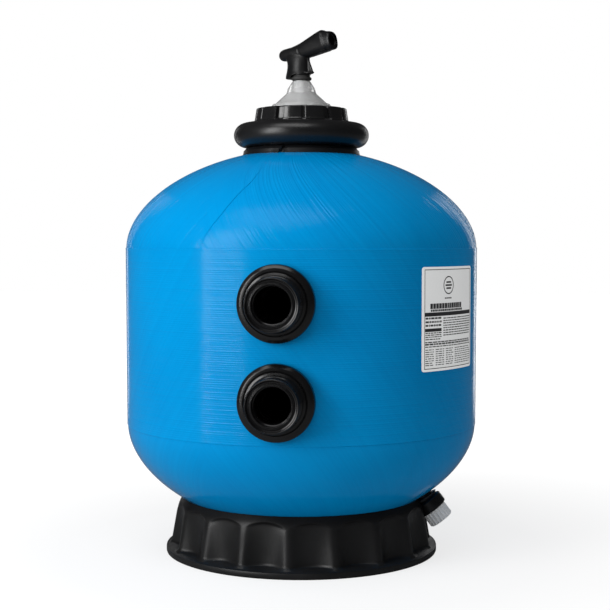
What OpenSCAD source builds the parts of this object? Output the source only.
// Side-port sand filter tank: wound shell on a fluted base, with a screw-down clear lid, a purge
// handle, two front ports, inner pipework, and a drain low on the right.
// Z is the tank axis and Z = 0 the floor. The ports face -Y. Lengths are millimetres.

/* [Tank] */
// Outer diameter of the wound shell
tank_d = 500; // [300:5:900]
// Wall thickness of the shell
tank_wall = 6; // [3:0.5:12]
// Height of the lower dome's pole above the floor
dome_foot = 33; // [20:1:80]
// Height of the lower dome
low_dome_h = 150; // [80:1:260]
// Length of the straight cylinder
straight_h = 250; // [60:1:900]
// Height of the upper dome if it ran to its pole
top_dome_h = 145; // [80:1:260]
// Diameter of the opening in the upper dome
neck_hole_d = 148; // [80:1:220]
// Angle step of the dome profile
dome_step = 5; // [2:1:15]

/* [Base] */
// Outer diameter of the flat flange on the floor
base_d = 390; // [240:1:700]
// Thickness of the flange
flange_h = 9; // [4:0.5:20]
// Radius of the skirt at its foot
skirt_foot_r = 188; // [110:1:340]
// Radius of the skirt at its shoulder
skirt_top_r = 177; // [100:1:330]
// Height of the shoulder
skirt_h = 67; // [30:1:120]
// Number of flutes
flutes = 18; // [8:1:36]
// Radius of the cutter that makes a flute
flute_r = 37.5; // [15:0.5:80]
// Depth of a flute
flute_depth = 14; // [4:0.5:25]
// Radius of the open middle
base_hole_r = 150; // [60:1:300]

/* [Neck and collar] */
// Radius of the neck ring at the dome
neck_r = 84.5; // [60:0.5:130]
// Height of the neck ring's top
neck_top = 577.4; // [400:0.2:900]
// Radius of the neck's clear way
neck_way_r = 46; // [20:0.5:70]
// Radius from the tank axis to the middle of the round collar
collar_r = 79.5; // [50:0.5:120]
// Radius of the round collar's section
collar_tube_r = 17.3; // [8:0.1:30]
// Height of the middle of the round collar
collar_z = 594.9; // [400:0.1:900]
// Radius of the threaded way in the collar
collar_way_r = 60.35; // [40:0.05:90]

/* [Lid nut] */
// Crown radius at its foot
nut_r = 67.7; // [45:0.1:100]
// Crown radius at its top
nut_top_r = 64; // [42:0.1:95]
// Height of the crown's foot
nut_z = 613; // [400:0.5:900]
// Height of the crown
nut_h = 20; // [8:0.5:40]
// Radius of the way the lid passes through
nut_way_r = 46.2; // [30:0.1:70]
// Radius of the threaded skirt
nut_skirt_r = 60.25; // [40:0.05:88]
// Height of the threaded skirt's lower edge
nut_skirt_z = 589.1; // [400:0.1:900]
// Number of grooves round the crown
nut_grooves = 12; // [4:1:24]

/* [Purge handle] */
// Angle of the arm from +X
handle_turn = -30; // [-180:1:180]
// Height of the handle's seat
handle_z = 680.4; // [500:0.1:900]
// Distance of the outlet's mouth from the tank axis
outlet_reach = 56; // [30:1:100]
// Height of the middle of the outlet's mouth
outlet_z = 727.5; // [550:0.5:950]
// Tilt of the outlet end above level
outlet_tilt = 10; // [0:1:45]
// Radius of the outlet's hole
outlet_r = 9.5; // [4:0.5:14]

/* [Ports] */
// Height of the upper port
upper_z = 366; // [200:0.5:800]
// Height of the lower port
lower_z = 241; // [120:0.5:700]
// Radius of the port flange
port_flange_r = 50; // [30:0.5:80]
// Radius of the port neck
port_neck_r = 34.5; // [20:0.1:60]
// Radius of the bore
port_bore_r = 24; // [12:0.1:50]
// Distance of the rim from the tank axis
port_rim = 298; // [200:1:500]
// Radius of the tube that passes the wall
port_tube_r = 27.9; // [14:0.1:55]
// Gasket thickness
gasket_t = 2; // [0.5:0.1:4]

/* [Pipes] */
// Outer radius of the inner pipes
pipe_r = 27; // [15:0.5:50]
// Inner radius of the inner pipes
pipe_way_r = 23; // [12:0.5:46]
// Bend radius of the elbows
bend_r = 50; // [30:1:90]
// Height of the diffuser's foot
diffuser_z = 455; // [380:1:560]
// Height of the laterals
lateral_z = 95; // [60:1:200]
// Number of laterals
laterals = 8; // [4:1:12]
// Distance of a lateral's tip from the tank axis
lateral_tip = 170; // [80:1:400]
// Outer radius of a lateral
lateral_r = 11; // [6:0.5:25]
// Number of slots in a lateral
lateral_slots = 10; // [3:1:30]

/* [Drain] */
// Distance of the collar face from the tank axis
drain_x = 191; // [120:0.5:400]
// Height of the collar face's middle
drain_z = 61; // [40:0.5:300]
// Slope of the drain below level
drain_slope = 52; // [0:1:90]
// Radius of the drain collar
drain_r = 21.5; // [12:0.5:40]
// Radius of the drain nipple
nipple_r = 14; // [8:0.1:30]
// Radius of the cap
cap_r = 18.2; // [12:0.1:36]
// Length of the cap
cap_h = 20; // [10:0.5:40]

/* [Label] */
// Angle of the label's middle from +X
label_turn = -30; // [-180:1:180]
// Angle the label covers
label_arc = 28.6; // [10:0.1:60]
// Height of the label's lower edge
label_z = 274; // [180:1:800]
// Height of the label
label_h = 137; // [40:1:300]

/* [Hidden] */
$fn = 96;
tank_r = tank_d / 2;
in_r = tank_r - tank_wall;
low_z = dome_foot + low_dome_h;
top_z = low_z + straight_h;
hole_r = neck_hole_d / 2;
low_in = low_dome_h - tank_wall;
top_in = top_dome_h - tank_wall;
out_stop = acos(hole_r / tank_r);
in_stop = acos(hole_r / in_r);
flute_pitch = 360 / flutes;
groove_pitch = 360 / nut_grooves;
hub_r = 62;
hub_h = 32;
bleed_x = 37;
lateral_pitch = 360 / laterals;
gap = 0.1;
BLUE = [0.00, 0.50, 0.80];
BLACK = [0.06, 0.06, 0.065];
SATIN = [0.10, 0.10, 0.11];
CLEAR = [0.80, 0.84, 0.86, 0.35];
GREY = [0.55, 0.56, 0.58];
WHITE = [0.88, 0.88, 0.87];
RUBBER = [0.04, 0.04, 0.04];

// The piece to draw

// ---- shared shapes ----

// Height of the lower dome's outside at radius r, with a wider copy by "more"
function low_dome(r, more) =
    low_z - (low_dome_h + more) * sqrt(1 - pow(r / (tank_r + more), 2));
// Height of the upper dome's outside at radius r, with a wider copy by "more"
function top_dome(r, more) =
    top_z + (top_dome_h + more) * sqrt(1 - pow(r / (tank_r + more), 2));

// Sets its children at a port: their +Z points out of the port, with Z = 0 on the tank axis
module at_port(z) {
    translate([0, 0, z])
        rotate([90, 0, 0])
            children();
}

// Sets its children at the drain: their +Z points out, with Z = 0 on the collar's face
module at_drain() {
    translate([drain_x, 0, drain_z])
        rotate([0, 90 + drain_slope, 0])
            children();
}

module ring(outer, inner, h) {
    difference() {
        cylinder(r = outer, h = h);
        translate([0, 0, -1])
            cylinder(r = inner, h = h + 2);
    }
}

// ---- tank ----

module tank_profile() {
    polygon(concat(
        [for (a = [-90:dome_step:0]) [tank_r * cos(a), low_z + low_dome_h * sin(a)]],
        [for (a = [0:dome_step:out_stop - 1]) [tank_r * cos(a), top_z + top_dome_h * sin(a)]],
        [[hole_r, top_z + top_dome_h * sin(out_stop)]],
        [[hole_r, top_z + top_in * sin(in_stop)]],
        [for (i = [floor((in_stop - 1) / dome_step):-1:0])
            [in_r * cos(i * dome_step), top_z + top_in * sin(i * dome_step)]],
        [for (a = [0:dome_step:90]) [in_r * cos(a), low_z - low_in * sin(a)]]));
}

module tank_shell() {
    color(BLUE)
        difference() {
            rotate_extrude()
                tank_profile();
            for (z = [upper_z, lower_z])
                at_port(z)
                    translate([0, 0, tank_r - 40])
                        cylinder(r = port_tube_r + 0.3, h = 60);
            at_drain()
                translate([0, 0, -60])
                    cylinder(r = 13.3, h = 55);
        }
}

module base_skirt() {
    seat_r = 171;
    color(SATIN)
        union() {
            difference() {
                rotate_extrude()
                    polygon([
                        [base_hole_r, 0], [skirt_foot_r, 0], [skirt_foot_r, 12],
                        [skirt_top_r + 2.5, skirt_h - 13], [skirt_top_r, skirt_h],
                        [seat_r + 1, low_dome(seat_r + 1, 0.6) - 1.5],
                        [seat_r, low_dome(seat_r, 0.6)], [166, low_dome(166, 0.6)],
                        [159, low_dome(159, 0.6)], [152, low_dome(152, 0.6)],
                        [base_hole_r, 50]]);
                for (i = [0:flutes - 1])
                    rotate([0, 0, -90 + flute_pitch * (i + 0.5)])
                        translate([skirt_foot_r - flute_depth + flute_r, 0, 9])
                            cylinder(r = flute_r, h = 70);
                // notch that clears the drain
                at_drain()
                    translate([0, 0, -38])
                        cylinder(r = drain_r + 3, h = 20);
                at_drain()
                    translate([0, 0, -19])
                        cylinder(r = drain_r + 0.8, h = 42);
            }
            rotate_extrude()
                polygon([[base_hole_r + 6, 0], [base_d / 2, 0], [base_d / 2, flange_h],
                    [skirt_foot_r + 1, 11.5], [base_hole_r + 6, 11.5]]);
        }
}

module label() {
    color(WHITE)
        rotate([0, 0, label_turn - label_arc / 2])
            rotate_extrude(angle = label_arc)
                translate([tank_r + 0.05, label_z])
                    square([0.4, label_h]);
}

// ---- neck, collar and lid ----

module neck_ring() {
    color(BLACK)
        rotate_extrude()
            polygon([
                [neck_way_r, neck_top - 6], [neck_way_r, neck_top], [neck_r - 6.5, neck_top],
                [neck_r - 4.5, neck_top - 2], [neck_r - 1, top_dome(neck_r, 0.6) + 1.5],
                [neck_r, top_dome(neck_r, 0.6)], [hole_r - 0.2, top_dome(hole_r, 0.6)],
                [hole_r - 0.2, 548], [hole_r - 8, 548], [hole_r - 8, neck_top - 10]]);
}

module neck_collar() {
    color(BLACK)
        rotate_extrude()
            difference() {
                union() {
                    translate([collar_r, collar_z])
                        circle(r = collar_tube_r);
                    translate([collar_way_r - 3, collar_z - 15])
                        square([15, 30]);
                }
                translate([0, collar_z - 30])
                    square([collar_way_r, 60]);
            }
}

module lid_seal() {
    color(RUBBER)
        rotate_extrude()
            translate([51.5, neck_top + 2.35])
                circle(r = 2.25);
}

module lid_nut() {
    color(BLACK)
        difference() {
            rotate_extrude()
                polygon([
                    [nut_way_r, nut_skirt_z], [nut_skirt_r, nut_skirt_z], [nut_skirt_r, nut_z],
                    [nut_r, nut_z], [nut_r - 0.4, nut_z + 6], [nut_top_r + 0.8, nut_z + nut_h - 1.5],
                    [nut_top_r - 0.8, nut_z + nut_h], [nut_way_r + 1, nut_z + nut_h],
                    [nut_way_r, nut_z + nut_h - 1]]);
            // every other groove is deep, and the shallow ones are narrow
            for (i = [0:nut_grooves - 1])
                rotate([0, 0, -90 + 7 + 3 + i * groove_pitch])
                    translate([i % 2 == 0 ? nut_r - 3.4 : nut_r - 5.6, i % 2 == 0 ? -2.8 : -4.6,
                        nut_z + 2])
                        cube([12, i % 2 == 0 ? 5.6 : 9.2, nut_h]);
        }
}

module clear_lid() {
    color(CLEAR)
        rotate_extrude()
            polygon([
                [58, neck_top + 4.7], [58, 588.8], [45.8, 588.8], [45.4, 606], [42.6, 636],
                [41.6, 639], [36, 641.3], [21.2, 655], [20.6, 656.4], [19.5, 661.8], [12.4, 673],
                [8.1, 673], [8.1, 655.5], [17.2, 654], [34.4, 637.8], [38.3, 635.5],
                [41.3, 606], [42, neck_top + 4.7]]);
}

module lid_tip_gasket() {
    color(RUBBER)
        translate([0, 0, 673.1])
            difference() {
                rotate_extrude()
                    polygon([[8.15, 0], [13.5, 0], [14.5, 1], [14.5, 6], [13.5, 6.9], [8.15, 6.9]]);
            }
}

module purge_stem() {
    color(GREY)
        rotate_extrude()
            polygon([
                [2.5, 612], [7, 612], [7, 640], [10.5, 641], [10.5, 650], [9, 651.5], [9, 655],
                [8, 655.5], [8, handle_z - 0.4], [6, handle_z], [6, handle_z + 16],
                [2.5, handle_z + 16]]);
}

module purge_seal() {
    color(RUBBER)
        translate([0, 0, 653.2])
            rotate_extrude()
                translate([10.9, 0])
                    circle(r = 1.8);
}

// ---- purge handle ----

module purge_handle() {
    tilt = [0, 90 - outlet_tilt, 0];
    color(BLACK)
        rotate([0, 0, handle_turn])
            difference() {
                union() {
                    // hub with its flared foot
                    hull() {
                        translate([-3.5, 0, handle_z])
                            scale([1.35, 1, 1])
                                cylinder(r = 14, h = 3, $fn = 32);
                        translate([-3, 0, handle_z + 24])
                            scale([1.35, 1, 1])
                                cylinder(r = 12.5, h = 6, $fn = 32);
                    }
                    // rounded nub behind the hub
                    hull() {
                        translate([-27, 0, 709])
                            sphere(r = 8.2, $fn = 28);
                        translate([-8, 0, 708])
                            sphere(r = 10, $fn = 28);
                    }
                    // arm that widens towards the outlet
                    hull() {
                        translate([-4, 0, 712])
                            sphere(r = 10.5, $fn = 28);
                        translate([outlet_reach - 14, 0, outlet_z + 0.7])
                            rotate([0, 71, 0])
                                scale([1, 0.85, 1])
                                    rotate([0, 0, 22.5])
                                        cylinder(r = 15.6, h = 2, $fn = 8);
                    }
                    // eight-sided outlet end
                    translate([outlet_reach, 0, outlet_z])
                        rotate(tilt)
                            translate([0, 0, -16])
                                rotate([0, 0, 22.5])
                                    cylinder(r1 = 13.4, r2 = 12.4, h = 16, $fn = 8);
                    // web under the arm
                    hull() {
                        translate([10, -2, handle_z + 5])
                            cube([14, 4, 2]);
                        translate([8, -2, handle_z + 24])
                            cube([10, 4, 6]);
                    }
                }
                translate([0, 0, handle_z - 1])
                    cylinder(r = 6.06, h = 19);
                translate([outlet_reach, 0, outlet_z])
                    rotate(tilt)
                        translate([0, 0, -16])
                            cylinder(r = outlet_r, h = 18);
            }
}

// ---- ports ----

module port_body() {
    rim = port_rim;
    difference() {
        rotate_extrude()
            polygon([
                [port_bore_r, 205], [port_tube_r, 205], [port_tube_r, 240],
                [port_flange_r, 240], [port_flange_r, 259], [port_flange_r - 0.8, 261.4],
                [port_flange_r - 3, 263.2], [port_flange_r - 6, 263.8], [port_flange_r - 6, 262.4],
                [port_flange_r - 8, 262.4], [port_flange_r - 8.6, 265.6],
                [port_neck_r + 3, 267], [port_neck_r + 2, 269.5], [port_neck_r, 271],
                [port_neck_r, rim - 2], [port_neck_r - 2, rim], [port_bore_r + 2.4, rim],
                [port_bore_r + 0.75, rim - 1.6], [port_bore_r + 0.75, rim - 9],
                [port_bore_r, rim - 9]]);
        // the flange's back follows the gasket round the tank
        translate([0, 0, 0])
            rotate([-90, 0, 0])
                translate([0, 0, -80])
                    difference() {
                        cylinder(r = tank_r + gasket_t + 0.1, h = 160);
                        rotate([90, 0, 0])
                            translate([0, 80, 190])
                                cylinder(r = port_tube_r, h = 80);
                    }
    }
}

module upper_port() {
    color(BLACK)
        at_port(upper_z)
            port_body();
}

module lower_port() {
    color(BLACK)
        at_port(lower_z)
            port_body();
}

module saddle(r_out, r_in, outer, inner) {
    intersection() {
        translate([0, 0, 200])
            ring(outer, inner, 70);
        rotate([-90, 0, 0])
            translate([0, 0, -70])
                ring(r_out, r_in, 140);
    }
}

module upper_gasket() {
    color(RUBBER)
        at_port(upper_z)
            saddle(tank_r + gasket_t, tank_r + 0.05, 48.5, port_tube_r + 0.2);
}

module lower_gasket() {
    color(RUBBER)
        at_port(lower_z)
            saddle(tank_r + gasket_t, tank_r + 0.05, 48.5, port_tube_r + 0.2);
}

module backnut() {
    intersection() {
        translate([0, 0, 222])
            difference() {
                cylinder(r = 42, h = 40, $fn = 6);
                translate([0, 0, -1])
                    cylinder(r = port_tube_r + gap, h = 42);
            }
        rotate([-90, 0, 0])
            translate([0, 0, -70])
                cylinder(r = in_r - 0.1, h = 140);
    }
}

module upper_backnut() {
    color(BLACK)
        at_port(upper_z)
            backnut();
}

module lower_backnut() {
    color(BLACK)
        at_port(lower_z)
            backnut();
}

// ---- inner pipes ----

// Socket on the port tube, straight run to the bend, and the bend
module elbow(up) {
    rotate_extrude()
        polygon([
            [pipe_way_r, bend_r], [pipe_r, bend_r], [pipe_r, 186], [port_tube_r + 4, 190],
            [port_tube_r + 4, 220], [port_tube_r + gap, 220], [port_tube_r + gap, 204.8],
            [pipe_way_r, 204.8]]);
    translate([0, up * bend_r, bend_r])
        rotate([0, 0, up * 90])
            rotate([90, 0, 0])
                rotate([0, 0, 180])
                    rotate_extrude(angle = 90)
                        translate([bend_r, 0])
                            difference() {
                                circle(r = pipe_r);
                                circle(r = pipe_way_r);
                            }
}

module inlet_elbow() {
    color(WHITE)
        at_port(upper_z)
            elbow(1);
}

module outlet_elbow() {
    color(WHITE)
        at_port(lower_z)
            elbow(-1);
}

module inlet_riser() {
    color(WHITE)
        translate([0, 0, upper_z + bend_r + gap])
            ring(pipe_r, pipe_way_r, diffuser_z - upper_z - bend_r - gap + 8);
}

module diffuser() {
    color(GREY)
        translate([0, 0, diffuser_z])
            difference() {
                rotate_extrude()
                    polygon([
                        [pipe_r + gap, 0], [pipe_r + 5, 0], [pipe_r + 6, 10], [44, 20], [44, 34],
                        [40, 38], [0, 40], [0, 36], [38, 34], [40, 32], [40, 22],
                        [pipe_r + gap, 10]]);
                for (i = [0:11])
                    rotate([0, 0, i * 30])
                        translate([36, -5, 23])
                            cube([12, 10, 8]);
            }
}

module outlet_pipe() {
    pipe_foot = lateral_z + hub_h / 2 - 6;
    color(WHITE)
        translate([0, 0, pipe_foot])
            ring(pipe_r, pipe_way_r, lower_z - bend_r - gap - pipe_foot);
}

module lateral_hub() {
    color(GREY)
        translate([0, 0, lateral_z])
            difference() {
                cylinder(r = hub_r, h = hub_h, center = true);
                cylinder(r = hub_r - 6, h = hub_h - 12, center = true);
                translate([0, 0, hub_h / 2 - 6 - gap])
                    cylinder(r = pipe_r + gap, h = 8);
                cylinder(r = pipe_way_r, h = hub_h / 2);
                for (i = [0:laterals - 1])
                    rotate([0, 0, (i + 0.5) * lateral_pitch])
                        rotate([0, 90, 0])
                            translate([0, 0, hub_r - 10])
                                cylinder(r = 9, h = 12);
                translate([bleed_x, -bleed_x, 0])
                    cylinder(r = 4 + gap, h = 20);
            }
}

module lateral_arm(i) {
    run = lateral_tip - hub_r;
    slot_pitch = (run - 20) / lateral_slots;
    color(GREY)
        translate([0, 0, lateral_z])
            rotate([0, 0, (i - 0.5) * lateral_pitch])
                difference() {
                    rotate([0, 90, 0])
                        rotate_extrude()
                            polygon([
                                [6.5, hub_r - 6], [8.9, hub_r - 6], [8.9, hub_r + gap],
                                [lateral_r, hub_r + gap], [lateral_r, lateral_tip - 2],
                                [lateral_r - 2, lateral_tip], [0, lateral_tip],
                                [0, lateral_tip - 3], [9, lateral_tip - 3], [9, hub_r + 6],
                                [6.5, hub_r + 3]]);
                    for (k = [0:lateral_slots - 1])
                        for (s = [-1, 1])
                            translate([hub_r + 12 + k * slot_pitch, s * 10, 0])
                                cube([1.6, 8, 14], center = true);
                }
}

module lateral_1() {
    lateral_arm(1);
}
module lateral_2() {
    lateral_arm(2);
}
module lateral_3() {
    lateral_arm(3);
}
module lateral_4() {
    lateral_arm(4);
}
module lateral_5() {
    lateral_arm(5);
}
module lateral_6() {
    lateral_arm(6);
}
module lateral_7() {
    lateral_arm(7);
}
module lateral_8() {
    lateral_arm(8);
}

module air_bleed() {
    color(WHITE)
        translate([bleed_x, -bleed_x, lateral_z + hub_h / 2 - 5])
            ring(4, 2.5, 490 - lateral_z - hub_h / 2 + 5);
}

module bleed_strainer() {
    color(GREY)
        translate([bleed_x, -bleed_x, 484])
            difference() {
                cylinder(r = 6.5, h = 14);
                translate([0, 0, -1])
                    cylinder(r = 4 + gap, h = 13);
                for (i = [0:2])
                    rotate([0, 0, i * 60])
                        translate([0, 0, 9.5])
                            cube([20, 1.6, 4], center = true);
            }
}

// ---- drain ----

module drain_body() {
    color(BLACK)
        at_drain()
            rotate_extrude()
                polygon([
                    [9, -56], [13, -56], [13, -19.3], [17, -19.3], [17, -16], [drain_r - 1, -16],
                    [drain_r, -15], [drain_r, -1], [drain_r - 1, 0], [nipple_r + 1.5, 0],
                    [nipple_r, -0.5], [nipple_r, 12], [nipple_r - 1, 13], [9, 13]]);
}

module dome_solid(more) {
    rotate_extrude()
        polygon(concat(
            [for (a = [-90:dome_step:-20])
                [(tank_r + more) * cos(a), low_z + (low_dome_h + more) * sin(a)]],
            [[0, low_z - 20]]));
}

module drain_gasket() {
    color(RUBBER)
        difference() {
            at_drain()
                translate([0, 0, -32])
                    difference() {
                        cylinder(r = 19, h = 12.6);
                        translate([0, 0, -1])
                            cylinder(r = 13.1, h = 20);
                    }
            dome_solid(0.1);
        }
}

module drain_backnut() {
    color(BLACK)
        at_drain()
            translate([0, 0, -49])
                difference() {
                    cylinder(r = 21, h = 10, $fn = 6);
                    translate([0, 0, -1])
                        cylinder(r = 13 + gap, h = 12);
                }
}

module drain_strainer() {
    color(GREY)
        at_drain()
            difference() {
                translate([0, 0, -92])
                    difference() {
                        cylinder(r = 13, h = 35.8);
                        translate([0, 0, 2])
                            cylinder(r = 11, h = 40);
                    }
                for (k = [0:6])
                    for (s = [-1, 1])
                        translate([s * 12, 0, -87 + k * 4])
                            cube([8, 14, 1.4], center = true);
            }
}

module drain_cap() {
    color(GREY)
        at_drain()
            difference() {
                union() {
                    rotate_extrude()
                        polygon([
                            [0, 16], [nipple_r + 0.08, 16], [nipple_r + 0.08, 0.4],
                            [cap_r - 0.9, 0.4], [cap_r - 0.9, cap_h - 1.5],
                            [cap_r - 2.4, cap_h], [0, cap_h]]);
                    for (i = [0:23])
                        rotate([0, 0, i * 15])
                            translate([cap_r - 1.6, -1.1, 0.4])
                                cube([1.6, 2.2, cap_h - 3]);
                }
            }
}

module drain_cap_seal() {
    color(RUBBER)
        at_drain()
            translate([0, 0, 13.3])
                ring(12.5, 4, 2.4);
}

tank_shell();
base_skirt();
neck_ring();
neck_collar();
lid_seal();
lid_nut();
clear_lid();
lid_tip_gasket();
purge_stem();
purge_seal();
purge_handle();
upper_port();
lower_port();
upper_gasket();
lower_gasket();
upper_backnut();
lower_backnut();
inlet_elbow();
inlet_riser();
diffuser();
outlet_elbow();
outlet_pipe();
lateral_hub();
lateral_1();
lateral_2();
lateral_3();
lateral_4();
lateral_5();
lateral_6();
lateral_7();
lateral_8();
air_bleed();
bleed_strainer();
drain_body();
drain_gasket();
drain_backnut();
drain_strainer();
drain_cap();
drain_cap_seal();
label();
